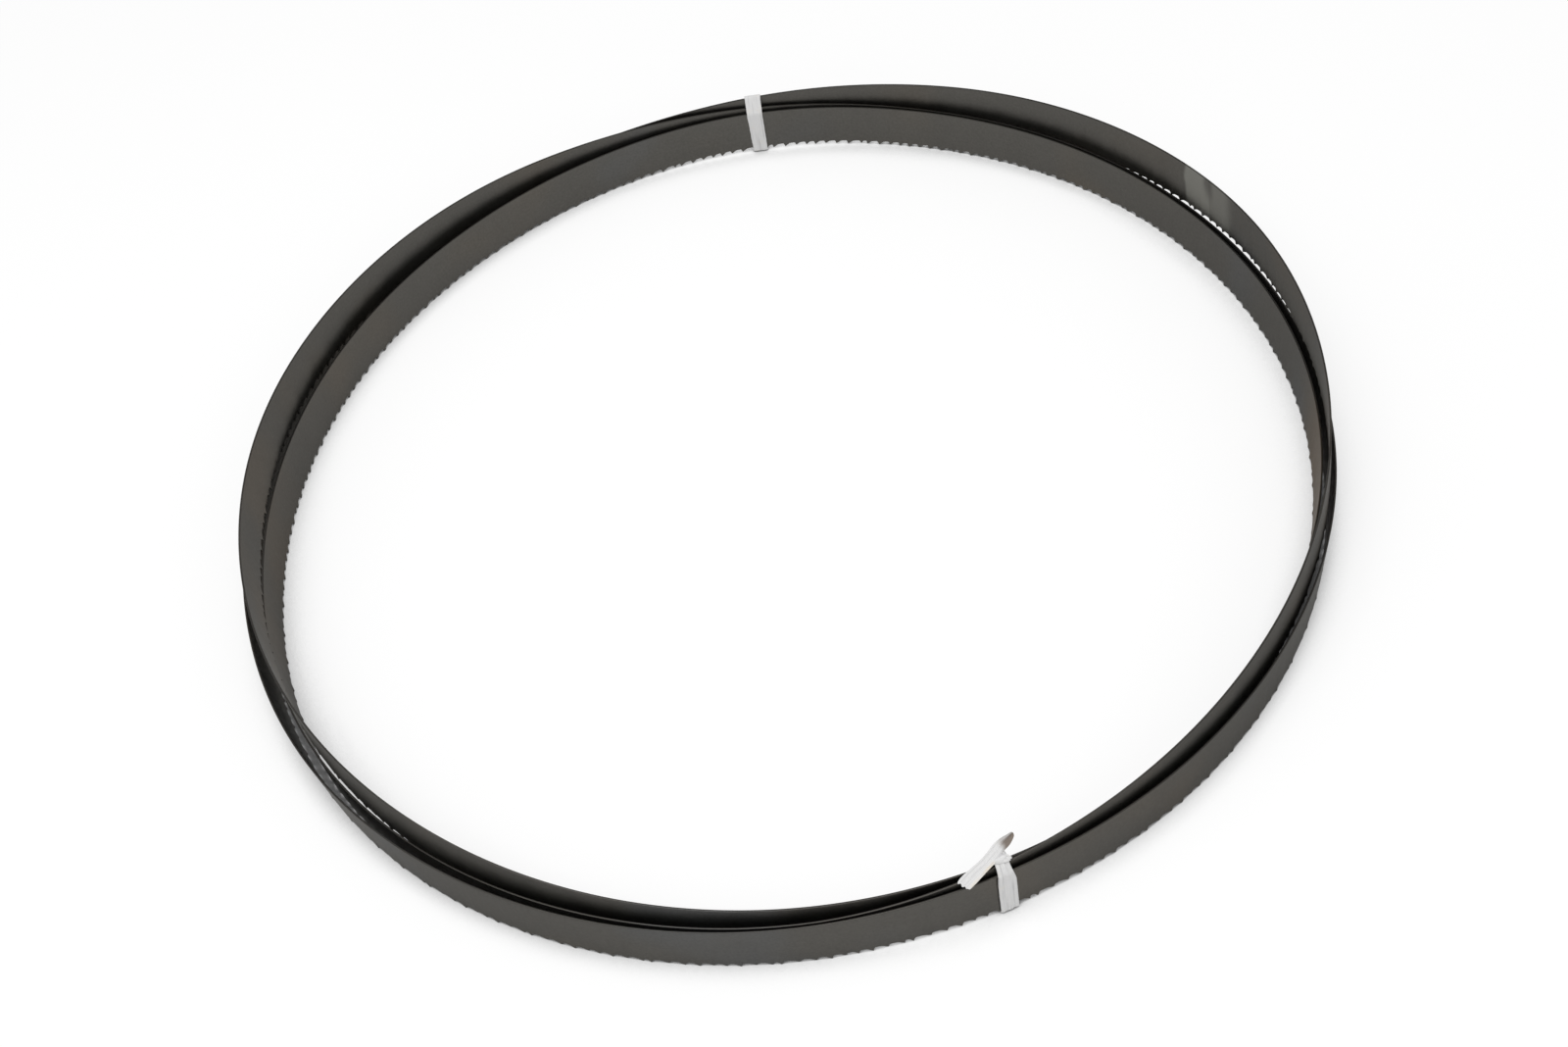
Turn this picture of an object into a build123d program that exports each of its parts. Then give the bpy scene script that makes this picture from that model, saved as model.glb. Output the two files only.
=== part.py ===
from build123d import *
from math import cos, degrees, radians, sin
import os

import numpy as np

# A band saw blade, coiled in three turns and tied for storage.
# One endless toothed steel band lies in three turns, its teeth down, with a flat tie at the far side and a
# knotted one at the near side. Millimetres, +Z up. The origin is under the middle of the whole, on the floor.

# The band
band_width = 27.0  # from the tooth tips to the back edge
band_thickness = 0.9

# The teeth: one group of nine with uneven pitch, repeated all along the band
tooth_pitches = [6.5, 7.1, 3.7, 7.8, 7.1, 6.5, 6.1, 5.4, 6.1]
gullet_depth = 2.1
gullet_start = 0.16  # from the tip to the foot of its cutting face, as a share of the pitch
gullet_end = 0.6  # from the tip to the far end of the gullet's floor, as a share of the pitch
gullet_rise = 0.25  # the gullet is shallower by this at its far end
tooth_set = 0.25  # the tips are bent aside by this: left, right, straight
teeth_per_facet = 3  # the band's sides are flat facets, each as long as this many teeth

# The coil
coil_radius = 268.0
turn_gap = 1.2  # free space between turns that lie side by side
ride_gap = 0.6  # free space under the teeth of a turn that crosses over another

# The ties
rear_tie_angle = 83.0
front_tie_angle = 283.0
tie_width = 8.5
tie_thickness = 0.7
tie_gap = 0.4  # between the band and a tie
hump_spread = 25.0  # degrees to each side over which the band rises from the floor onto a tie

# The knot of the front tie, and the ribbon through it that ends in the two tails. The ribbon's stations are
# its middle, counted outwards, upwards and clockwise along the coil from the top of the tie
knot_size = (7.5, 4.0, 7.0)
knot_edge = 1.2
knot_inset = 2.0  # the knot sits this far inwards of the middle of the tie's top
tail_thickness = 0.8
long_tail = [(3.0, -0.5, 18.0), (1.0, 1.4, 9.0)]
knot_pass = [(-3.0, 3.0, 0.0)]
short_tail = [(-4.5, 5.5, -5.0), (-6.0, 8.2, -9.0)]

# How far the coil's outline stands out from a true circle, at twelve stations of one turn from the right
bulges = [1.0, 4.5, 8.0, 7.5, 2.5, -5.5, -10.5, -5.5, -2.5, -0.5, 0.5, 1.0]

# The band's own way round, at the same twelve stations of its three turns: its lane, counted outwards from
# the middle one in widths of one band and one gap; its climb, 0 on the floor and 1 on top of another turn;
# and the outward lean of its back edge in degrees
first_turn = [
    (-1.3, 0.0, 6),
    (-1.2, 0.0, 1.5),
    (-1.1, 0.0, -2),
    (-1.1, 0.0, -2),
    (-3.1, 0.0, -1),
    (-3.1, 0.0, 2),
    (-1.6, 0.0, 4),
    (-0.7, 0.0, 3),
    (-0.6, 0.0, 4),
    (0.0, 0.02, 2),
    (-0.1, 0.38, 0),
    (0.8, 0.8, -2),
]
second_turn = [
    (1.4, 1.04, -2),
    (1.7, 0.84, -0.5),
    (1.3, 0.56, -1.5),
    (1.1, 0.24, -2),
    (3.4, 0.06, 1),
    (3.4, 0.0, 4),
    (2.3, 0.0, 8),
    (1.3, 0.0, 6),
    (1.6, 0.0, 1),
    (1.2, 0.0, 0),
    (1.4, 0.0, 0),
    (1.3, 0.0, 4),
]
third_turn = [
    (0.0, 0.0, 6),
    (-0.3, 0.0, 2),
    (-0.2, 0.0, -2),
    (0.0, 0.16, -2),
    (-0.3, 0.54, -1),
    (-0.3, 0.82, 0),
    (-0.6, 1.05, 4),
    (-0.8, 0.95, 1),
    (-1.1, 0.5, 0),
    (-1.2, 0.18, 0),
    (-1.2, 0.0, 1),
    (-2.0, 0.0, 4),
]
stations = first_turn + second_turn + third_turn
turns = 3
sample_step = 0.5  # degrees


def smooth(values, places):
    """The smooth closed curve through evenly spaced values, at places counted in stations."""
    values = np.array(values, float)
    count = len(values)
    neighbours = np.roll(np.eye(count), 1, axis=0) + np.roll(np.eye(count), -1, axis=0)
    rises = 3 * (np.roll(values, -1) - np.roll(values, 1))
    slopes = np.linalg.solve(4 * np.eye(count) + neighbours, rises)
    before = np.floor(places).astype(int)
    t = places - before
    before = before % count
    after = (before + 1) % count
    start = values[before] * (1 + 2 * t) * (1 - t) ** 2 + slopes[before] * t * (1 - t) ** 2
    end = values[after] * (3 - 2 * t) * t**2 - slopes[after] * (1 - t) * t**2
    return start + end


def hump(angles):
    """1 at a tie, falling smoothly to 0 at the spread to each side of it."""
    height = np.zeros(len(angles))
    for tie_angle in (rear_tie_angle, front_tie_angle):
        away = (angles - tie_angle + 180) % 360 - 180
        share = np.clip(np.abs(away) / hump_spread, 0, 1)
        height = height + np.cos(share * np.pi / 2) ** 2
    return height


def unit(vectors):
    """The same vectors at length one."""
    return vectors / np.linalg.norm(vectors, axis=1)[:, None]


class Band:
    """The closed line of the tooth tips, with the directions across the band and through it."""

    def __init__(self):
        self.angles = np.arange(0, 360 * turns + sample_step, sample_step)
        places = self.angles * len(bulges) / 360
        lanes, climbs, leans = zip(*stations)
        lane_step = band_thickness + turn_gap
        radii = coil_radius + smooth(bulges, places) + lane_step * smooth(lanes, places)
        lifts = (band_width + ride_gap) * np.clip(smooth(climbs, places), 0, None)
        lifts = lifts + (tie_thickness + tie_gap) * hump(self.angles)
        leans = np.radians(smooth(leans, places))
        turned = np.radians(self.angles)
        outward = np.stack([np.cos(turned), np.sin(turned), 0 * turned], axis=1)
        upward = np.array([0.0, 0.0, 1.0])
        self.tips = outward * radii[:, None] + upward * lifts[:, None]
        along = unit(np.gradient(self.tips, axis=0))
        across = outward * np.sin(leans)[:, None] + upward * np.cos(leans)[:, None]
        across = across - along * np.sum(across * along, axis=1)[:, None]
        self.across = unit(across)
        self.through = np.cross(along, self.across)
        steps = np.linalg.norm(np.diff(self.tips, axis=0), axis=1)
        self.lengths = np.concatenate([[0.0], np.cumsum(steps)])
        self.length = self.lengths[-1]

    def at(self, place, height, depth):
        """The point at a length along the band, a height above the tips and a depth through it."""
        tip, across, through = (
            np.array([np.interp(place, self.lengths, line[:, axis]) for axis in range(3)])
            for line in (self.tips, self.across, self.through)
        )
        return tuple(tip + across * height + through * depth)

    def section(self, angle):
        """The corners of the band's section where it has turned by this angle."""
        place = np.interp(angle, self.angles, self.lengths)
        half = band_thickness / 2
        return [self.at(place, height, depth) for height in (0, band_width) for depth in (-half, half)]


def tooth_starts(band):
    """Where each tooth tip lies along the band, in whole groups that close at the weld."""
    group_length = sum(tooth_pitches)
    groups = round(band.length / group_length)
    pitches = np.array(tooth_pitches * groups) * band.length / (groups * group_length)
    return np.concatenate([[0.0], np.cumsum(pitches)[:-1]]), pitches


def saw_blade(band):
    """The endless toothed band as one solid of flat facets."""
    starts, pitches = tooth_starts(band)
    half = band_thickness / 2
    teeth = len(starts)
    sets = np.resize([tooth_set, -tooth_set, 0.0], teeth)
    sides = []
    for depth in (-half, half):
        tips = [band.at(start, 0, depth + aside) for start, aside in zip(starts, sets)]
        feet = [band.at(s + gullet_start * p, gullet_depth, depth) for s, p in zip(starts, pitches)]
        far_height = gullet_depth - gullet_rise
        ends = [band.at(s + gullet_end * p, far_height, depth) for s, p in zip(starts, pitches)]
        backs = [band.at(start, band_width, depth) for start in starts[::teeth_per_facet]]
        sides.append((tips, feet, ends, backs))
    faces = []

    def triangle(*corners):
        faces.append(Face(Wire.make_polygon(corners)))

    for tips, feet, ends, backs in sides:
        for n in range(teeth):
            here = n // teeth_per_facet
            following = (n + 1) % teeth
            triangle(ends[n], tips[following], feet[following])
            triangle(feet[n], ends[n], backs[here])
            triangle(ends[n], feet[following], backs[here])
            if following % teeth_per_facet == 0:
                triangle(feet[following], backs[(here + 1) % len(backs)], backs[here])
    near, far = sides
    for n in range(teeth):
        following = (n + 1) % teeth
        edge = [(0, n), (1, n), (2, n), (0, following)]
        for (kind, first), (next_kind, second) in zip(edge, edge[1:]):
            triangle(near[kind][first], near[next_kind][second], far[kind][first])
            triangle(near[next_kind][second], far[next_kind][second], far[kind][first])
    near_backs, far_backs = near[3], far[3]
    for n in range(len(near_backs)):
        following = (n + 1) % len(near_backs)
        triangle(near_backs[n], near_backs[following], far_backs[n])
        triangle(near_backs[following], far_backs[following], far_backs[n])
    return Solid(Shell(faces))


def tie_plane(angle):
    """The upright plane that cuts the coil at this angle, its x outwards, its y up, its z clockwise."""
    turned = radians(angle)
    outwards = (cos(turned), sin(turned), 0)
    return Plane(origin=(0, 0, 0), x_dir=outwards, z_dir=(sin(turned), -cos(turned), 0))


def bundle(band, angle):
    """The outline round the three turns where a tie holds them, drawn in the tie's plane."""
    plane = tie_plane(angle)
    half_turn = degrees(tie_width / 2 / coil_radius)
    points = []
    for turn in range(turns):
        for shift in (-half_turn, half_turn):
            for corner in band.section(angle + 360 * turn + shift):
                local = plane.to_local_coords(Vector(*corner))
                points.append((local.X, local.Y))
    return make_hull(Polyline(*points).edges())


def tie_loop(band, angle):
    """The flat tie drawn tight round the three turns."""
    outline = bundle(band, angle)
    strap = offset(outline, tie_gap + tie_thickness) - offset(outline, tie_gap, kind=Kind.INTERSECTION)
    return extrude(tie_plane(angle) * strap, tie_width / 2, both=True)


def knot_and_tails(band, angle):
    """The knot on top of the tie and the ribbon through it, with its two free ends."""
    box = bundle(band, angle).bounding_box()
    top = Pos(box.center().X, box.max.Y + tie_gap + tie_thickness, 0)
    block = Box(*knot_size, align=(Align.CENTER, Align.MIN, Align.CENTER))
    knot = Pos(-knot_inset, -tie_thickness / 2, 0) * chamfer(block.edges(), knot_edge)
    slice_outline = Rectangle(tie_width, tail_thickness)
    ribbon = loft([Pos(*point) * slice_outline for point in long_tail + knot_pass + short_tail], ruled=True)
    return tie_plane(angle) * top * (knot + ribbon)


band = Band()
parts = {
    "saw_blade": saw_blade(band),
    "rear_tie": tie_loop(band, rear_tie_angle),
    "front_tie": tie_loop(band, front_tie_angle) + knot_and_tails(band, front_tie_angle),
}
whole = Compound(list(parts.values())).bounding_box()
to_middle = Pos(-whole.center().X, -whole.center().Y, -whole.min.Z)
os.makedirs("parts", exist_ok=True)
for name, shape in parts.items():
    export_step(to_middle * shape, f"parts/{name}.step")
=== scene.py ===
# %% [markdown]
# # A coiled band saw blade
#
# A band saw blade is one endless loop of thin steel, toothed along one edge. This one is 27 mm
# wide and about five metres round. It is stored as it is sold: folded into three turns, teeth
# down, with two flat ties round them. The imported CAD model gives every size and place. Here the
# blade gets its fine teeth, its steel and its weld, and the ties get their folds.

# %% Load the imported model
import math

import bpy
import numpy as np
from mathutils import Matrix, Vector


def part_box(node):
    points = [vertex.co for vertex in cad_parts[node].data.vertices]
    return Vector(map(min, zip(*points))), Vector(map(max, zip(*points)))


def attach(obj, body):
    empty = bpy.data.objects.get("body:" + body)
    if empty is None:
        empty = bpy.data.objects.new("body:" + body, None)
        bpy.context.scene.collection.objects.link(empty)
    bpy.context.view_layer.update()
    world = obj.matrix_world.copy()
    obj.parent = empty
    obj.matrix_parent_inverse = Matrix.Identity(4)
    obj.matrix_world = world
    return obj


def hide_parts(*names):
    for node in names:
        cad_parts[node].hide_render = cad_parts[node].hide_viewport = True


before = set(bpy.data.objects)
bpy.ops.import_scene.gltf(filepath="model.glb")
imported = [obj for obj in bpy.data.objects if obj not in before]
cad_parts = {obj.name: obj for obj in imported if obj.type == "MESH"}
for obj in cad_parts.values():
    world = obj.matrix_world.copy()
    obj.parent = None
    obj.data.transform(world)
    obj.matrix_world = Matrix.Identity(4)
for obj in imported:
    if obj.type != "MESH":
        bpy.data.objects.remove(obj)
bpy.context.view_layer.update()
MM = 0.001

# %% [markdown]
# ## The way the band lies
#
# The band can't be bent from a curve object alone, because it leans as it goes round. So its way
# is written down as a maker would: at twelve stations of each turn, how far out it lies, how far
# it has climbed over the turn below, and how far its back edge leans outwards. A smooth closed
# curve goes through the stations. These are the numbers of the CAD source, so the fine blade lies
# where the plain one does. Only the first stations of the second and third turns differ a little:
# there the fine blade is fitted closer to the photograph.

# %% The band's sizes and stations
band_width = 27.0 * MM
band_thickness = 0.9 * MM
tooth_pitches = [6.5, 7.1, 3.7, 7.8, 7.1, 6.5, 6.1, 5.4, 6.1]
gullet_depth = 2.1 * MM
tooth_set = 0.25 * MM
coil_radius = 268.0 * MM
lane_step = 2.1 * MM  # one band and the gap beside it
climb_step = 27.6 * MM  # one band and the gap under the teeth that ride on it
tie_angles = {"rear_tie": 83.0, "front_tie": 283.0}  # degrees
tie_width = 8.5 * MM
tie_thickness = 0.7 * MM
tie_gap = 0.4 * MM  # between the band and a tie
hump_spread = 25.0  # degrees to each side over which the band rises onto a tie
# How far the coil's outline stands out from a true circle, at twelve stations, in millimetres
bulges = [1.0, 4.5, 8.0, 7.5, 2.5, -5.5, -10.5, -5.5, -2.5, -0.5, 0.5, 1.0]
# At each station: the lane, counted outwards from the middle one, the climb, the lean in degrees
first_turn = [
    (-1.3, 0.0, 6), (-1.2, 0.0, 1.5), (-1.1, 0.0, -2), (-1.1, 0.0, -2),
    (-3.1, 0.0, -1), (-3.1, 0.0, 2), (-1.6, 0.0, 4), (-0.7, 0.0, 3),
    (-0.6, 0.0, 4), (0.0, 0.02, 2), (-0.1, 0.38, 0), (0.8, 0.8, -2),
]
second_turn = [
    (1.4, 1.06, -2), (1.7, 0.84, -0.5), (1.3, 0.56, -1.5), (1.1, 0.24, -2),
    (3.4, 0.06, 1), (3.4, 0.0, 4), (2.3, 0.0, 8), (1.3, 0.0, 6),
    (1.6, 0.0, 1), (1.2, 0.0, 0), (1.4, 0.0, 0), (1.3, 0.0, 4),
]
third_turn = [
    (0.2, 0.0, 8.5), (-0.3, 0.0, 2), (-0.2, 0.0, -2), (0.0, 0.16, -2),
    (-0.3, 0.54, -1), (-0.3, 0.82, 0), (-0.6, 1.05, 4), (-0.8, 0.95, 1),
    (-1.1, 0.5, 0), (-1.2, 0.18, 0), (-1.2, 0.0, 1), (-2.0, 0.0, 4),
]
lanes, climbs, leans = zip(*(first_turn + second_turn + third_turn))
turns = 3
turn_stations = len(bulges)
print("Stations:", len(lanes), "on", turns, "turns")

# %% [markdown]
# At every half degree the band has a point on its tooth line, a direction across it towards the
# back edge and one through its thickness. The lengths along it let a straight strip be wound on
# without stretching.


# %% The band's line
def smooth(values, places):
    """The smooth closed curve through even values, at places counted in stations."""
    values = np.array(values, float)
    count = len(values)
    neighbours = np.roll(np.eye(count), 1, axis=0) + np.roll(np.eye(count), -1, axis=0)
    rises = 3 * (np.roll(values, -1) - np.roll(values, 1))
    slopes = np.linalg.solve(4 * np.eye(count) + neighbours, rises)
    before = np.floor(places).astype(int)
    t = places - before
    before = before % count
    after = (before + 1) % count
    start = values[before] * (1 + 2 * t) * (1 - t) ** 2 + slopes[before] * t * (1 - t) ** 2
    end = values[after] * (3 - 2 * t) * t**2 - slopes[after] * (1 - t) * t**2
    return start + end


def run_along(points):
    """How far along their line each of the points lies."""
    return np.concatenate([[0.0], np.cumsum(np.linalg.norm(np.diff(points, axis=0), axis=1))])


sample_step = 0.5  # degrees
turned = np.arange(0, 360 * turns + sample_step, sample_step)
places = turned * turn_stations / 360
hump = np.zeros(len(turned))
for tie_angle in tie_angles.values():
    away = (turned - tie_angle + 180) % 360 - 180
    hump += np.cos(np.clip(np.abs(away) / hump_spread, 0, 1) * np.pi / 2) ** 2
radii = coil_radius + MM * smooth(bulges, places) + lane_step * smooth(lanes, places)
climbed = np.clip(smooth(climbs, places), 0, None)
lifts = climb_step * climbed + (tie_thickness + tie_gap) * hump
lean = np.radians(smooth(leans, places))[:, None]
turned_by = np.radians(turned)
outward = np.stack([np.cos(turned_by), np.sin(turned_by), 0 * turned], axis=1)
upward = np.array([0.0, 0.0, 1.0])
tips = outward * radii[:, None] + upward * lifts[:, None]
along = np.gradient(tips, axis=0)
along /= np.linalg.norm(along, axis=1)[:, None]
across = outward * np.sin(lean) + upward * np.cos(lean)
across -= along * np.sum(across * along, axis=1)[:, None]
across /= np.linalg.norm(across, axis=1)[:, None]
through = np.cross(along, across)
lengths = run_along(tips)
loop_length = lengths[-1]
print("Band:", round(loop_length, 3), "m round")

# %% [markdown]
# The CAD node's box says where its coil lies. The band's four edges give the same box for this
# line, and the difference between the two is how far the line has to be moved.

# %% Moving the line to the CAD model's place
half = band_thickness / 2
edges = np.concatenate([
    tips + across * height + through * depth
    for height in (0, band_width) for depth in (-half, half)
])
node_low, node_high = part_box("saw_blade")
to_middle = (np.array(node_low) + np.array(node_high) - edges.min(0) - edges.max(0)) / 2
to_middle[2] = node_low[2] - edges.min(0)[2]
tips = tips + to_middle
print("Moved by", (to_middle / MM).round(2), "mm")

# %% [markdown]
# ## The toothed band
#
# The real band is milled from a flat strip, so it is modelled flat: a grid of four rows is cut to
# the outline of nine teeth of uneven pitch, which is how such a blade keeps from ringing as it
# cuts. Each tooth has a steep cutting face, a rounded gullet and a gentle back. The tips are bent
# left, right and straight in turn.

# %% The outline of nine teeth
groups = round(loop_length / (sum(tooth_pitches) * MM))
group_length = loop_length / groups
# From one tip to the next: the place as a share of the pitch, the depth as a share of the gullet's
tooth_outline = [(0.0, 0.0), (0.05, 0.46), (0.1, 0.84), (0.17, 1.0),
                 (0.38, 0.97), (0.6, 0.88), (0.78, 0.5), (0.9, 0.22)]
cutting_face_end = 0.3  # up to this share of the pitch a point is bent with the tooth before it
band_rows = [0.0, 3.4 * MM, 26.5 * MM, band_width]
set_sides = [1, -1, 0]  # left, right, straight
columns = len(tooth_outline) * len(tooth_pitches)
print(groups, "groups of", round(group_length / MM, 2), "mm")
print("Teeth on the whole band:", groups * len(tooth_pitches))

# %% [markdown]
# A grid starts as a square with its points evenly spaced. Each point's column says which tooth it
# belongs to and where on that tooth it lies, and its row says how far up the band. Only the
# lowest row follows the teeth. The rows above it keep straight, so the band's sides stay flat and
# smooth.


# %% One group of nine teeth, cut in a flat strip
def deselect():
    """Leaves nothing selected, because operators act on all that is."""
    if bpy.context.mode != "OBJECT":
        bpy.ops.object.mode_set(mode="OBJECT")
    bpy.ops.object.select_all(action="DESELECT")


deselect()
bpy.ops.mesh.primitive_grid_add(
    x_subdivisions=columns, y_subdivisions=len(band_rows) - 1, size=1
)
blade = bpy.context.object
blade.name = "toothed_band"
pitch_starts = np.concatenate([[0.0], np.cumsum(tooth_pitches)])
pitch_starts = pitch_starts / sum(tooth_pitches) * group_length
pitch_lengths = [*np.diff(pitch_starts), group_length]
for vertex in blade.data.vertices:
    column = round((vertex.co.x + 0.5) * columns)
    row = round((vertex.co.y + 0.5) * (len(band_rows) - 1))
    tooth, step = divmod(column, len(tooth_outline))
    share, depth = tooth_outline[step]
    vertex.co.x = pitch_starts[tooth] + share * pitch_lengths[tooth]
    vertex.co.y = 0.0
    vertex.co.z = band_rows[row]
    if row == 0:
        bent_tooth = tooth if share < cutting_face_end else tooth + 1
        vertex.co.z = depth * gullet_depth
        vertex.co.y = -tooth_set * (1 - depth) * set_sides[bent_tooth % 3]
print("Flat group:", len(blade.data.vertices), "points")

# %% [markdown]
# A real blade's teeth are milled in one long run and then cut off. Here an array repeats the
# group, and merges the points where two copies meet. The strip's flat coordinates are kept as a
# UV map, so that the steel's grain and the weld can follow the band.


# %% The whole flat strip
def apply_modifier(piece, kind, **settings):
    """Adds a modifier with these settings and applies it."""
    bpy.context.view_layer.objects.active = piece
    modifier = piece.modifiers.new(kind.title(), kind)
    for name, value in settings.items():
        setattr(modifier, name, value)
    bpy.ops.object.modifier_apply(modifier=modifier.name)


apply_modifier(
    blade, "ARRAY", count=groups, use_relative_offset=False, use_constant_offset=True,
    constant_offset_displace=(group_length, 0, 0), use_merge_vertices=True,
    merge_threshold=0.005 * MM
)
flat = np.empty(len(blade.data.vertices) * 3)
blade.data.vertices.foreach_get("co", flat)
flat = flat.reshape(-1, 3)
corner_points = np.empty(len(blade.data.loops), int)
blade.data.loops.foreach_get("vertex_index", corner_points)
along_band = blade.data.uv_layers[0]
along_band.name = "along_band"
along_band.data.foreach_set("uv", flat[corner_points][:, [0, 2]].ravel())
print("Strip:", len(flat), "points,", round(flat[:, 0].max(), 3), "m long")

# %% [markdown]
# The strip is wound on from the weld, which shows on the far right of the coil. It is one strip
# length round, so its two ends meet there, and merging their points is the weld itself.


# %% Winding the strip into the coil
def wound(places_along, heights, depths):
    """Points of the flat strip, carried to where they lie on the coiled band."""
    at = places_along % loop_length
    point, up, out = (
        np.stack([np.interp(at, lengths, line[:, axis]) for axis in range(3)], axis=1)
        for line in (tips, across, through)
    )
    return point + up * heights[:, None] + out * depths[:, None]


def edit(piece, *steps):
    """Runs edit-mode operators on what is selected in the piece's mesh."""
    bpy.context.view_layer.objects.active = piece
    bpy.ops.object.mode_set(mode="EDIT")
    for operator, settings in steps:
        operator(**settings)
    bpy.ops.object.mode_set(mode="OBJECT")


weld_turned = 381.7  # degrees from the start of the first turn
weld_place = np.interp(weld_turned, turned, lengths)
coiled = wound(flat[:, 0] + weld_place, flat[:, 2], -flat[:, 1])
blade.data.vertices.foreach_set("co", coiled.ravel())
select_all = (bpy.ops.mesh.select_all, {"action": "SELECT"})
normals_outwards = (bpy.ops.mesh.normals_make_consistent, {"inside": False})
edit(blade, (bpy.ops.mesh.select_mode, {"type": "VERT"}), select_all,
     (bpy.ops.mesh.remove_doubles, {"threshold": 0.008 * MM}))
print("Points left after the ends are joined:", len(blade.data.vertices))

# %% [markdown]
# Now the closed sheet gets its thickness. Its back edge is rounded, as the real one is so that it
# can run against a guide: the narrow faces that close the sheet there are selected, and the edges
# round them are bevelled.


# %% Thickness and the rounded back edge
def select_faces(piece, test):
    """Leaves only the faces of a mesh selected that pass a test."""
    mesh = piece.data
    for elements in (mesh.vertices, mesh.edges, mesh.polygons):
        elements.foreach_set("select", np.zeros(len(elements), bool))
    for face in mesh.polygons:
        face.select = bool(test(face))


apply_modifier(blade, "SOLIDIFY", thickness=band_thickness, offset=0.0, use_rim=True)
corner_heights = np.empty(len(blade.data.loops) * 2)
blade.data.uv_layers["along_band"].data.foreach_get("uv", corner_heights)
corner_heights = corner_heights[1::2]
back_line = band_width - 0.001 * MM
select_faces(blade, lambda face: corner_heights[list(face.loop_indices)].min() > back_line)
edit(blade, (bpy.ops.mesh.select_mode, {"type": "FACE"}), (bpy.ops.mesh.region_to_loop, {}),
     (bpy.ops.mesh.bevel, {"offset": 0.2 * MM, "segments": 2, "affect": "EDGES"}),
     select_all, normals_outwards)
deselect()
blade.select_set(True)
bpy.context.view_layer.objects.active = blade
bpy.ops.object.shade_smooth_by_angle(angle=math.radians(32))
blade.data.calc_loop_triangles()
print("Blade:", len(blade.data.loop_triangles), "triangles")

# %% [markdown]
# ## Shader maths
#
# A finish is a tree of small nodes. Adding and linking them one by one makes long scripts, so a
# socket is wrapped here, and can then be added, multiplied and blended as a number is. The nodes
# behind each sum are made on the way.


# %% Sockets that work as numbers
class Socket:
    """One output of a node in a finish that is being built."""

    def __init__(self, finish, output):
        self.finish = finish
        self.output = output

    def maths(self, operation, *others):
        return self.finish.node("ShaderNodeMath", {"operation": operation}, self, *others)

    def __add__(self, other):
        return self.maths("ADD", other)

    def __mul__(self, other):
        return self.maths("MULTIPLY", other)

    def __sub__(self, other):
        return self.maths("SUBTRACT", other)

    def __rsub__(self, other):
        settings = {"operation": "SUBTRACT"}
        return self.finish.node("ShaderNodeMath", settings, other, self)

    __radd__ = __add__
    __rmul__ = __mul__

    def between(self, low, high):
        """0 below low, 1 above high, smooth from one to the other."""
        settings = {"interpolation_type": "SMOOTHSTEP"}
        return self.finish.node("ShaderNodeMapRange", settings, self, low, high, 0.0, 1.0)


class Finish:
    """The node tree of a material, or of the world around the coil."""

    def __init__(self, name, kept_in=bpy.data.materials):
        self.owner = kept_in.new(name)
        self.owner.use_nodes = True
        self.tree = self.owner.node_tree
        self.tree.nodes.clear()

    def node(self, kind, settings=None, *values, output=0, **named):
        """Adds a node, sets its settings first, then links or fills its sockets."""
        made = self.tree.nodes.new(kind)
        for name, value in (settings or {}).items():
            setattr(made, name, value)
        sockets = list(zip(made.inputs, values))
        sockets += [(made.inputs[name.replace("_", " ")], value) for name, value in named.items()]
        for socket, value in sockets:
            if isinstance(value, Socket):
                self.tree.links.new(value.output, socket)
            elif value is not None:
                socket.default_value = value
        return Socket(self, made.outputs[output]) if made.outputs else None

    def mix(self, share, first, second):
        """A colour between two colours."""
        unused = [None] * 5  # the node's sockets for other kinds of values
        settings = {"data_type": "RGBA"}
        return self.node("ShaderNodeMix", settings, share, *unused, first, second, output=2)

    def scaled(self, vector, scale):
        """A place or a colour times a factor, or times one for each of its axes."""
        if isinstance(scale, tuple):
            return self.node("ShaderNodeVectorMath", {"operation": "MULTIPLY"}, vector, scale)
        return self.node("ShaderNodeVectorMath", {"operation": "SCALE"}, vector, Scale=scale)

    def noise(self, place, scale, detail, roughness):
        """Smooth noise from 0 to 1 at a place."""
        return self.node("ShaderNodeTexNoise", None, place, None, scale, detail, roughness)

    def ends_in(self, shader, output="ShaderNodeOutputMaterial"):
        """Links the last shader to the tree's output, and gives back what the tree belongs to."""
        self.node(output, None, shader)
        return self.owner

    def surface(self, **sockets):
        """A surface with these sockets, as the last shader."""
        return self.ends_in(self.node("ShaderNodeBsdfPrincipled", None, **sockets))


def colour(red, green, blue):
    """A colour as it looks on screen, from 0 to 255, in the linear numbers that a shader takes."""
    shares = np.array([red, green, blue]) / 255
    return (*((shares + 0.055) / 1.055) ** 2.4, 1.0)


print("Middle grey in a shader's numbers:", round(colour(128, 128, 128)[0], 3))
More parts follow.
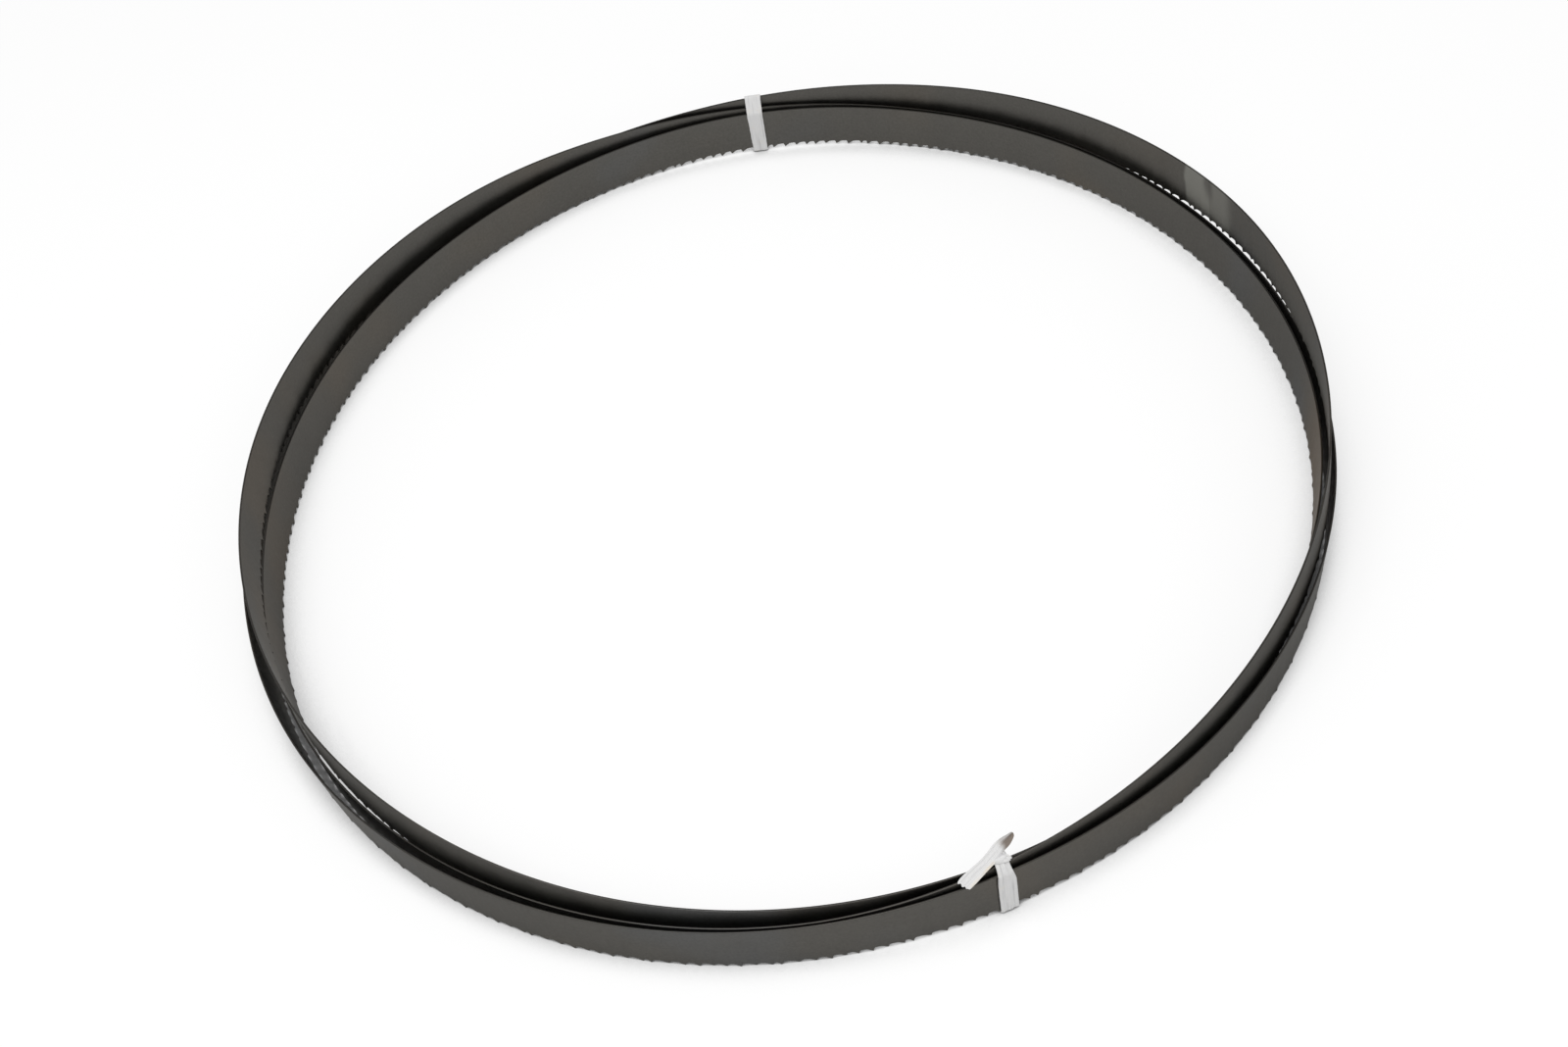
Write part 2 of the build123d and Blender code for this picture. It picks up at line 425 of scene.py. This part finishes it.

# %% [markdown]
# ## The steel
#
# Spring steel leaves its tempering dark grey and finely satin, with faint lines along its length
# from rolling and patches a little browner or bluer than the rest. The back edge is painted darker
# than the sides, as painted shade on the rims, and one stretch on the right is browner. The weld
# shows as a lighter ground patch with a darker mark of heat at its middle. A picture of steel
# could be wrapped round the band, but it would be blurred up close and would show where it
# repeats.
# Patterns that are worked out at each point stay sharp, so they are used.

# %% The steel's patterns
steel = Finish("tempered_steel")
strip = steel.node("ShaderNodeUVMap", {"uv_map": "along_band"})
length_place = steel.node("ShaderNodeSeparateXYZ", None, strip, output=0)
height_place = steel.node("ShaderNodeSeparateXYZ", None, strip, output=1)
solid_place = steel.node("ShaderNodeTexCoord", None, output=3)
rolled = steel.scaled(strip, (30.0, 2600.0, 1.0))  # long along the band, fine across it
lines = steel.noise(rolled, 1.0, 3.0, 0.6)
patches = steel.noise(solid_place, 9.0, 2.0, 0.5)  # the size of a hand
mottle = steel.noise(solid_place, 55.0, 3.0, 0.55)  # the size of a coin
speckle = steel.noise(solid_place, 800.0, 2.0, 0.6)  # about a millimetre
print("Steel's patterns:", len(steel.tree.nodes), "nodes")

# %% [markdown]
# The steel itself is nearly one colour. It is mixed from three greys that are close to each
# other, and then each place is made a little lighter or darker by the three finer patterns.

# %% The steel's own colour
dark = colour(97, 95, 91)
brown = colour(103, 98, 91)
blue = colour(98, 98, 97)
body = steel.mix(patches.between(0.52, 0.68), dark, brown)
body = steel.mix(patches.between(0.44, 0.32), body, blue)
shade = 0.66 + 0.68 * (lines * 0.2 + mottle * 0.25 + speckle * 0.55)
body = steel.scaled(body, shade)
# A stretch near the end of the third turn is mixed towards brown.
browner_turned = 1062.0  # degrees from the start of the first turn, near the end of the third
browner_place = (np.interp(browner_turned, turned, lengths) - weld_place) % loop_length
beyond_browner = length_place - float(browner_place)
from_browner = steel.node("ShaderNodeMath", {"operation": "ABSOLUTE"}, beyond_browner)
browner_stretch = 1 - from_browner.between(15 * MM, 75 * MM)
body = steel.mix(browner_stretch * 0.6, body, colour(122, 106, 88))
print("The stain's middle is", round(float(browner_place), 3), "m from the weld")

# %% [markdown]
# The weld's place is where the strip began, so it is at length 0 and at the full length too. A
# ping-pong folds the length so that it grows from the weld to both sides. The patch is sharp on
# one side of the weld and fades on the other, as if the grinding wheel was lifted off slowly
# there.

# %% The weld, the back edge and the steel's surface
half_loop = loop_length / 2
from_weld = steel.node("ShaderNodeMath", {"operation": "PINGPONG"}, length_place, half_loop)
uneven = from_weld + 0.008 * (mottle - 0.5)
before_weld = length_place.between(half_loop, half_loop + 1 * MM)  # 1 on the side that fades
patch_start = 18.0 * MM - 7.0 * MM * before_weld
patch_end = 21.0 * MM + 3.0 * MM * before_weld
weld = 1 - uneven.between(patch_start, patch_end)
brighter = 1 - 0.3 * before_weld
heat = (1 - uneven.between(1.0 * MM, 5.0 * MM)) * height_place.between(10.0 * MM, 24.0 * MM)
welded = steel.mix(weld * brighter, body, colour(138, 137, 131))
welded = steel.mix(heat * 0.6, welded, colour(84, 81, 78))
# Painted shade: the back edge and the top of its bevel are mixed towards dark grey, standing in
# for the shade on the rims.
back_edge = height_place.between(26.6 * MM, 26.75 * MM)
rim_in_painted_shade = steel.mix(back_edge * 0.65, welded, colour(50, 48, 46))
relief = lines * 0.6 + speckle * 0.4
bump = steel.node("ShaderNodeBump", None, Strength=0.12, Distance=0.00005, Height=relief)
steel_surface = steel.surface(
    Base_Color=rim_in_painted_shade, Metallic=1.0, Roughness=0.36 + 0.12 * mottle + 0.1 * weld, Normal=bump,
    Specular_Tint=(0.57, 0.57, 0.57, 1.0)
)
blade.data.materials.clear()
blade.data.materials.append(steel_surface)
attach(blade, "root")
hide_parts("saw_blade")
print("Steel:", len(steel.tree.nodes), "nodes")


# %% [markdown]
# ## The ties
#
# Each tie is a flat strip of white fibre tape drawn tight round the three turns, which keeps the
# coil from springing open. It is measured in its own axes: outwards, upwards and along the coil.
# The first step is to find the corners of the three turns within the tie's width, because those
# are what the tape lies on.

# %% What a tie holds
tie_half_turn = math.degrees(tie_width / 2 / coil_radius)


def tie_axes(angle):
    """Outwards, upwards and clockwise along the coil, at a tie's angle."""
    turn = math.radians(angle)
    outwards = np.array([math.cos(turn), math.sin(turn), 0.0])
    return np.array([outwards, upward, np.cross(outwards, upward)])


def turns_corners(angle):
    """How far out and how high the corners of the three turns lie within the tie's width."""
    sections = [
        angle + 360 * turn + shift
        for turn in range(turns) for shift in (-tie_half_turn, tie_half_turn)
    ]
    places_along = np.repeat(np.interp(sections, turned, lengths), 4)
    heights = np.tile([0.0, 0.0, band_width, band_width], len(sections))
    depths = np.tile([-half, half, -half, half], len(sections))
    return (wound(places_along, heights, depths) - to_middle) @ tie_axes(angle)[:2].T


for tie, angle in tie_angles.items():
    reach = np.ptp(turns_corners(angle), axis=0) / MM
    print(tie, "holds a bundle of", reach.round(2), "mm, outwards and upwards")

# %% [markdown]
# A tight strap takes the shortest way: straight from one outer corner to the next, and a small
# arc at each. A curve could be drawn by hand through those corners, but it would have to be drawn
# again for each tie. So the way is found by asking, for every direction, which corner lies
# furthest out.


# %% The way that a tight strap takes
def pulled_round(corners, distance, count):
    """Evenly spaced points of a strap pulled tight round the corners, and the way each faces."""
    facing = np.radians(np.arange(90, 451))
    faces = np.stack([np.cos(facing), np.sin(facing)], axis=1)
    way = corners[np.argmax(corners @ faces.T, axis=0)] + distance * faces
    run = run_along(way)
    even = np.linspace(0, run[-1], count, endpoint=False)
    return [
        np.stack([np.interp(even, run, line[:, axis]) for axis in (0, 1)], axis=1)
        for line in (way, faces)
    ]


def tie_top(angle):
    """The middle of the tie's top, from which the knot and the tails are counted."""
    corners = turns_corners(angle)
    middle_out = (corners[:, 0].min() + corners[:, 0].max()) / 2
    return np.array([middle_out, corners[:, 1].max() + tie_gap + tie_thickness, 0.0])


for tie, angle in tie_angles.items():
    print(tie, "top is", (tie_top(angle) / MM).round(2), "mm out, up and along")

# %% [markdown]
# A strap could be a curve with a flat profile, but then it could not be pleated, widen or fray.
# So it is a cage of points with its rows across the tape and its columns along it. The cage is
# thickened, then subdivided twice, and its flat coordinates are kept as a UV map for the fibres.

# %% A strap from a cage of points
tape_thickness = 0.5 * MM
rounding = 2  # how often a cage is subdivided
print("The tape is", round(tie_width / tape_thickness), "times as wide as it is thick")


def strap(name, cage, angle, closed=False):
    """A strap through a cage whose points are outwards, upwards and clockwise at a tie."""
    rows, across_count = cage.shape[:2]
    if closed:
        cage = np.concatenate([cage, cage[:1]])
        rows += 1
    deselect()
    bpy.ops.mesh.primitive_grid_add(
        x_subdivisions=across_count - 1, y_subdivisions=rows - 1, size=1
    )
    piece = bpy.context.object
    piece.name = name
    flat_places = np.array([vertex.co[:] for vertex in piece.data.vertices]) + 0.5
    column_of = (flat_places[:, 0] * (across_count - 1)).round().astype(int)
    row_of = (flat_places[:, 1] * (rows - 1)).round().astype(int)
    laid = cage[row_of, column_of] @ tie_axes(angle) + to_middle
    run = run_along(cage.mean(axis=1))
    loop_points = np.array([loop.vertex_index for loop in piece.data.loops])
    along_strap = piece.data.uv_layers[0]
    along_strap.name = "along_strap"
    flat_uv = np.stack([run[row_of], column_of / (across_count - 1) * tie_width], axis=1)
    along_strap.data.foreach_set("uv", flat_uv[loop_points].ravel())
    piece.data.vertices.foreach_set("co", laid.ravel())
    piece.data.update()
    if closed:
        edit(piece, select_all, (bpy.ops.mesh.remove_doubles, {"threshold": 0.02 * MM}))
    apply_modifier(piece, "SOLIDIFY", thickness=tape_thickness, offset=0.0)
    apply_modifier(piece, "SUBSURF", levels=rounding, render_levels=rounding)
    edit(piece, select_all, normals_outwards)
    piece.select_set(True)
    bpy.ops.object.shade_smooth()
    return piece


# %% [markdown]
# The rear tie is a plain loop with shallow pleats, a little wider towards its top. Its ends don't
# show in the photograph, so none are made. A perfect loop would look like plastic, so each row of
# its cage is made a hair wider or narrower by random numbers. They start from a fixed seed, which
# gives the same tie each time.

# %% The rear tie
shuffle = np.random.default_rng(27)
loop_rows = 64
tape_columns = 9


def loop_cage(angle, inner_half, outer_half, pleats, crumple):
    """A loop's cage with a half width to each side for each row. No pleat goes under the floor."""
    way, faces = pulled_round(turns_corners(angle), tie_gap + tie_thickness / 2, loop_rows)
    share = np.linspace(0, 1, tape_columns)[None, :, None]
    place = -inner_half[:, None, None] * (1 - share) + outer_half[:, None, None] * share
    pleat_places = np.linspace(0, len(pleats) - 1, tape_columns)
    proud = np.interp(pleat_places, range(len(pleats)), pleats)[None, :]
    proud = proud + shuffle.normal(0, crumple, (loop_rows, tape_columns))
    above_floor = np.clip(faces[:, 1] + 0.9, 0, 0.3)[:, None] / 0.3
    moved = way[:, None, :] + faces[:, None, :] * (proud * above_floor)[:, :, None] * MM
    return np.concatenate([moved, place], axis=2)


rear_angle = tie_angles["rear_tie"]
rear_way = pulled_round(turns_corners(rear_angle), tie_gap, loop_rows)[0]
near_top = np.clip((rear_way[:, 1] - rear_way[:, 1].min()) / np.ptp(rear_way[:, 1]), 0, 1)
edge_wobble = 0.06 * MM
left_half = tie_width / 2 + 0.7 * MM * near_top + shuffle.normal(0, edge_wobble, loop_rows)
right_half = tie_width / 2 + 0.1 * MM * near_top + shuffle.normal(0, edge_wobble, loop_rows)
rear_pleats = [0, 0.1, 0.16, 0.06, 0.12, 0.14, 0.0]  # millimetres that each stands proud
rear_cage = loop_cage(rear_angle, right_half, left_half, rear_pleats, 0.03)
rear_strap = strap("rear_strap", rear_cage, rear_angle, closed=True)
print("Rear tie:", len(rear_strap.data.polygons), "faces")

# %% [markdown]
# The front tie ends in a knot. Its loop is gathered towards the knot and creased lengthwise. One
# strap lies over the knot from the long tail to the short one, another wraps round under it and
# ends in a frayed stub.

# %% The front tie's loop
front_angle = tie_angles["front_tie"]
front_way = pulled_round(turns_corners(front_angle), tie_gap, loop_rows)[0]
gather_reach = 11 * MM  # below the top
from_top = np.clip((front_way[:, 1].max() - front_way[:, 1]) / gather_reach, 0, 1)
gathered = 1 - from_top * from_top * (3 - 2 * from_top)
short_side = tie_width / 2 - 1.6 * MM * gathered
long_side = tie_width / 2 - 0.7 * MM * gathered
front_pleats = [0.05, 0.5, -0.2, 0.42, 0.5, -0.15, 0.3, 0.5, 0.0]
front_cage = loop_cage(front_angle, short_side, long_side, front_pleats, 0.09)
front_strap = strap("front_strap", front_cage, front_angle, closed=True)
print("Front tie's loop:", len(front_strap.data.polygons), "faces")

# %% [markdown]
# The long tail, the pass over the knot and the short tail are one ribbon. It twists and folds as
# it goes, which no simple sweep gives. So its two edges are written down station by station, in
# millimetres outwards, upwards and clockwise from the tie's top, with the line where it folds.

# %% The ribbon of the two tails
knot_middle = tie_top(front_angle)
ribbon_stations = [
    # upper edge, fold line, lower edge
    ((0.6, -0.3, 20.7), (4.6, -0.5, 18.2), (5.9, -0.9, 17.2)),
    ((-0.5, 0.0, 18.6), (3.9, -0.2, 16.4), (5.3, -0.6, 15.6)),
    ((-1.4, 0.3, 16.3), (3.3, 0.1, 14.7), (4.8, -0.4, 14.1)),
    ((-2.6, 0.8, 11.8), (1.8, 0.7, 10.9), (3.3, 0.2, 10.4)),
    ((-3.8, 1.5, 7.4), (0.4, 1.4, 7.0), (1.8, 0.9, 6.7)),
    ((-5.3, 2.4, 4.0), (-0.9, 2.3, 3.4), (0.6, 1.7, 2.9)),
    ((-6.2, 3.1, 2.1), (-1.8, 2.9, 1.4), (-0.6, 2.1, 0.9)),
    ((-6.8, 3.8, 0.5), (-2.8, 3.5, -0.8), (-2.0, 2.1, -0.8)),
    ((-7.1, 5.0, -1.8), (-3.6, 4.6, -2.9), (-2.6, 2.8, -2.7)),
    ((-6.8, 6.2, -3.9), (-4.1, 5.8, -4.9), (-2.7, 4.0, -4.6)),
    ((-6.3, 7.2, -5.7), (-4.6, 6.9, -6.4), (-3.2, 5.2, -6.2)),
    ((-6.1, 8.0, -7.0), (-5.0, 7.8, -7.6), (-4.0, 6.6, -7.6)),
    ((-5.9, 8.4, -7.7), (-5.1, 8.3, -8.1), (-4.4, 7.5, -8.2)),
]
frayed_end = [0.0, 0.8, -0.5, 0.5, 1.0, -0.3, 0.9, 0.0, 0.5]


def ribbon_cage(stations, pleats, fray, crumple):
    """A cage through stations of three points, with pleats, and its first row cut ragged."""
    columns_at = np.array([0, 0.17, 0.34, 0.5, 0.67, 0.84, 1.0, 1.5, 2.0])[:, None]
    first = np.clip(columns_at, 0, 1)
    second = np.clip(columns_at - 1, 0, 1)
    cage = np.stack([
        upper + (fold - upper) * first + (lower - fold) * second
        for upper, fold, lower in np.array(stations)
    ])
    along_rows = np.gradient(cage, axis=0)
    across_rows = np.gradient(cage, axis=1)
    faces = np.cross(along_rows, across_rows)
    faces /= np.linalg.norm(faces, axis=2)[:, :, None]
    proud = np.array(pleats)[None, :] + shuffle.normal(0, crumple, cage.shape[:2])
    cage = cage + faces * proud[:, :, None]
    lengthwise = along_rows[0] / np.linalg.norm(along_rows[0], axis=1)[:, None]
    cage[0] -= lengthwise * np.array(fray)[:, None]
    return cage * MM + knot_middle


ribbon_pleats = [0, 0.5, -0.25, 0.4, 0.5, -0.3, 0.4, 0.1, 0]
tails_cage = ribbon_cage(ribbon_stations, ribbon_pleats, frayed_end, 0.08)
ribbon = strap("tail_ribbon", tails_cage, front_angle)
print("Ribbon:", len(ribbon.data.polygons), "faces")

# %% [markdown]
# The wrap is what draws the knot together. It comes up on the inner side, goes under the ribbon
# and ends in a frayed stub on the outer side. It is made as the ribbon is, from fewer stations.

# %% The wrap round the knot
wrap_stations = [
    # the stub's end first
    ((0.5, 0.9, -4.3), (1.2, 0.7, -3.1), (1.5, 0.2, -2.4)),
    ((-0.4, 1.2, -3.5), (1.0, 1.0, -1.9), (1.6, 0.3, -1.2)),
    ((-2.4, 1.9, -1.8), (0.2, 1.6, -0.3), (1.3, 0.7, 0.4)),
    ((-4.3, 2.3, -0.6), (-1.6, 2.0, 1.3), (-0.5, 1.2, 2.2)),
    ((-5.6, 1.8, 0.6), (-3.6, 1.7, 2.6), (-2.4, 1.1, 3.6)),
    ((-6.3, 0.2, 1.0), (-4.9, 0.3, 3.0), (-3.9, 0.0, 4.0)),
    ((-5.6, -1.6, 0.8), (-4.7, -1.5, 2.8), (-3.9, -1.6, 3.8)),
]
wrap_pleats = [0, 0.35, -0.15, 0.3, 0.4, -0.2, 0.3, 0.1, 0]
wrap_fray = [0.5, -0.4, 0.9, 0.1, 0.7, -0.4, 0.8, 0.0, 0.3]
wrap_cage = ribbon_cage(wrap_stations, wrap_pleats, wrap_fray, 0.12)
wrap = strap("knot_wrap", wrap_cage, front_angle)
print("Wrap:", len(wrap.data.polygons), "faces")

# %% [markdown]
# Under the ribbon and the wrap sits the body of the knot. It is a cube that is subdivided, drawn
# in towards a ball, squeezed to the knot's size and given shallow furrows, as a lump of folded
# tape has.

# %% The body of the knot
deselect()
bpy.ops.mesh.primitive_cube_add(size=1)
knot = bpy.context.object
knot.name = "knot_body"
edit(knot, select_all, (bpy.ops.mesh.subdivide, {"number_cuts": 5}))
knot_size = np.array([6.6, 3.6, 7.0])  # millimetres outwards, upwards and along
knot_shift = np.array([-2.2, 0.7, 0.6])  # from the middle of the tie's top
roundness = 0.55
furrow_depth = 0.06
knot_points = np.array([vertex.co[:] for vertex in knot.data.vertices])
round_points = knot_points / np.linalg.norm(knot_points, axis=1)[:, None] * 0.5
knot_points = ((1 - roundness) * knot_points + roundness * round_points) * knot_size
furrow = 1 + furrow_depth * np.sin(knot_points[:, 0] * 2.6 + knot_points[:, 2] * 1.1)
knot_points = knot_points * furrow[:, None] + knot_shift
knot_points += shuffle.normal(0, 0.14, knot_points.shape)
knot_laid = (knot_points * MM + knot_middle) @ tie_axes(front_angle) + to_middle
knot.data.vertices.foreach_set("co", knot_laid.ravel())
apply_modifier(knot, "SUBSURF", levels=rounding, render_levels=rounding)
edit(knot, select_all, normals_outwards)
bpy.ops.object.shade_smooth()
knot_strip = knot.data.uv_layers[0]
knot_strip.name = "along_strap"
knot_uv = np.empty(len(knot.data.loops) * 2)
knot_strip.data.foreach_get("uv", knot_uv)
knot_strip.data.foreach_set("uv", knot_uv * 3 * tie_width)
print("Knot:", len(knot.data.polygons), "faces")

# %% [markdown]
# ## The fibre tape
#
# The tape is a pressed white fibre web. It is matt and creased along its length, and painted
# greyer in the creases as painted shade. The two tails have been handled most: the long one is
# cream along its lower edge. The end of the short one is painted grey-brown as painted shade,
# darkest away from its upper edge. One recipe makes both finishes, with and without these marks,
# so that the pieces still match.


# %% The tape's finish
def tape_finish(name, handling_and_painted_shade):
    """The white tape. If the second argument is 1, its lower edge shows handling and its end
    painted shade.
    """
    tape = Finish(name)
    place = tape.node("ShaderNodeTexCoord", None, output=3)
    flat_place = tape.node("ShaderNodeUVMap", {"uv_map": "along_strap"})
    run = tape.node("ShaderNodeSeparateXYZ", None, flat_place, output=0)
    width = tape.node("ShaderNodeSeparateXYZ", None, flat_place, output=1)
    fibres = tape.noise(tape.scaled(flat_place, (350.0, 3200.0, 1.0)), 1.0, 4.0, 0.65)
    creases = tape.noise(tape.scaled(flat_place, (40.0, 760.0, 1.0)), 1.0, 2.0, 0.5)
    web = tape.noise(place, 1400.0, 3.0, 0.6)
    tinge = tape.noise(place, 160.0, 2.0, 0.5)
    fabric = tape.mix(0.5 * fibres + 0.3 * web, colour(222, 222, 222), colour(190, 189, 188))
    # Painted shade: the creases are mixed towards grey, standing in for the shade in the folds.
    fabric = tape.mix(creases.between(0.5, 0.72) * 0.6, fabric, colour(164, 164, 166))
    fabric = tape.mix(tinge.between(0.55, 0.75) * 0.4, fabric, colour(214, 206, 194))
    edge = width.between(6.4 * MM, 7.6 * MM) * (1 - run.between(15 * MM, 19 * MM))
    handled = edge * tinge.between(0.3, 0.6) * 0.4 * handling_and_painted_shade
    fabric = tape.mix(handled, fabric, colour(226, 208, 178))
    # Painted shade: the short tail's end is mixed towards grey-brown, more so away from its upper
    # edge.
    painted_tail_shade = run.between(21.5 * MM, 25.5 * MM) * (0.4 + 0.6 * width.between(1.5 * MM, 4.5 * MM))
    fabric = tape.mix(painted_tail_shade * 0.95 * handling_and_painted_shade, fabric, colour(112, 100, 90))
    relief = fibres * 0.25 + web * 0.15 + creases * 0.6
    bump = tape.node("ShaderNodeBump", None, Strength=0.5, Distance=0.0003, Height=relief)
    return tape.surface(Base_Color=fabric, Roughness=0.86, Normal=bump)


loop_tape = tape_finish("white_fibre_tape", 0.0)
tail_tape = tape_finish("handled_tape_with_painted_shade", 1.0)
for piece, node, finish in (
    (rear_strap, "rear_tie", loop_tape),
    (front_strap, "front_tie", loop_tape),
    (ribbon, "front_tie", tail_tape),
    (wrap, "front_tie", loop_tape),
    (knot, "front_tie", loop_tape),
):
    piece.data.materials.clear()
    piece.data.materials.append(finish)
    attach(piece, "root")
    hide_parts(node)
print("Materials:", [material.name for material in bpy.data.materials])

# %% [markdown]
# ## Floor, light and camera
#
# The object lies on a plain white floor under broad soft light from above and from the front, as
# in a light tent. More light would make the floor white, but would bleach the steel too. So the
# floor glows a little for the camera only, and less where the coil shades it. A share of its own
# shading is kept, so the coil still throws a soft shadow.

# %% The floor
deselect()
bpy.ops.mesh.primitive_plane_add(size=8, location=(0, 0, 0))
floor = bpy.context.object
floor.name = "floor"
paper = Finish("floor_white")
seen = paper.node("ShaderNodeLightPath", None, output=0)
open_to_light = paper.node("ShaderNodeAmbientOcclusion", {"samples": 16}, None, 60 * MM, output=1)
matt = paper.node("ShaderNodeBsdfDiffuse", None, Color=(0.8, 0.8, 0.8, 1.0))
brightness = 1.09 * open_to_light.between(0.32, 0.66)  # darker where the coil shades it
glow_share = 0.65
white_glow = paper.scaled((1.0, 1.0, 1.0), brightness)
glow = paper.node("ShaderNodeEmission", None, Color=white_glow, Strength=1.0)
blend = paper.node("ShaderNodeMixShader", None, glow_share * seen, matt, glow)
floor.data.materials.append(paper.ends_in(blend))
print("Floor:", tuple(round(side, 2) for side in floor.dimensions[:2]), "m")

# %% [markdown]
# The surroundings are white where the camera sees them, and dimmer as a light, so that the two
# lamps shape the steel. The lamps are large, because the photograph's shadows are soft.

# %% The surroundings and the lamps
light_strength = 0.6
seen_strength = 1.0
tent = Finish("light_tent", bpy.data.worlds)
camera_ray = tent.node("ShaderNodeLightPath", None, output=0)
strength = light_strength + (seen_strength - light_strength) * camera_ray
background = tent.node("ShaderNodeBackground", None, (1.0, 1.0, 1.0, 1.0), strength)
bpy.context.scene.world = tent.ends_in(background, "ShaderNodeOutputWorld")


def soft_lamp(name, place, size, power):
    """A square area lamp at a place, turned towards the coil."""
    lamp = bpy.data.lights.new(name, "AREA")
    lamp.size = size
    lamp.energy = power
    holder = bpy.data.objects.new(name, lamp)
    holder.location = place
    holder.rotation_euler = (-Vector(place)).to_track_quat("-Z", "Y").to_euler()
    bpy.context.scene.collection.objects.link(holder)


soft_lamp("overhead", (-0.3, -0.45, 1.7), size=1.4, power=18)
soft_lamp("front", (0.6, -1.6, 1.2), size=1.2, power=5)
print("Lamps:", [light.name for light in bpy.data.lights])

# %% [markdown]
# The camera stands where the photograph was taken from, some 770 mm up and 720 mm in front,
# rolled a little to the left, so the coil leans in the frame as it does there. It could be turned
# by three angles, but its place is easier to check when its own axes are written down.

# %% The camera
camera_height = math.radians(48.0025)
camera_roll = math.radians(-11.8516)
camera_distance = 1037.568 * MM
aim = np.array([1.1417, -23.9205, 0.0]) * MM + to_middle
ahead = np.array([0.0, math.cos(camera_height), -math.sin(camera_height)])
level = np.array([1.0, 0.0, 0.0])
above = np.array([0.0, math.sin(camera_height), math.cos(camera_height)])
camera_x = math.cos(camera_roll) * level + math.sin(camera_roll) * above
camera_y = math.cos(camera_roll) * above - math.sin(camera_roll) * level
camera = bpy.data.objects.new("camera", bpy.data.cameras.new("camera"))
camera.data.sensor_width = 36.0  # millimetres, as the lens
camera.data.lens = 47.7375
placed = Matrix.Identity(4)
for axis, line in enumerate((camera_x, camera_y, -ahead, aim - ahead * camera_distance)):
    for row in range(3):
        placed[row][axis] = line[row]
camera.matrix_world = placed
bpy.context.scene.collection.objects.link(camera)
bpy.context.scene.camera = camera
bpy.context.scene.view_settings.view_transform = "Standard"
print("Camera at", (placed.translation / MM)[:], "mm")
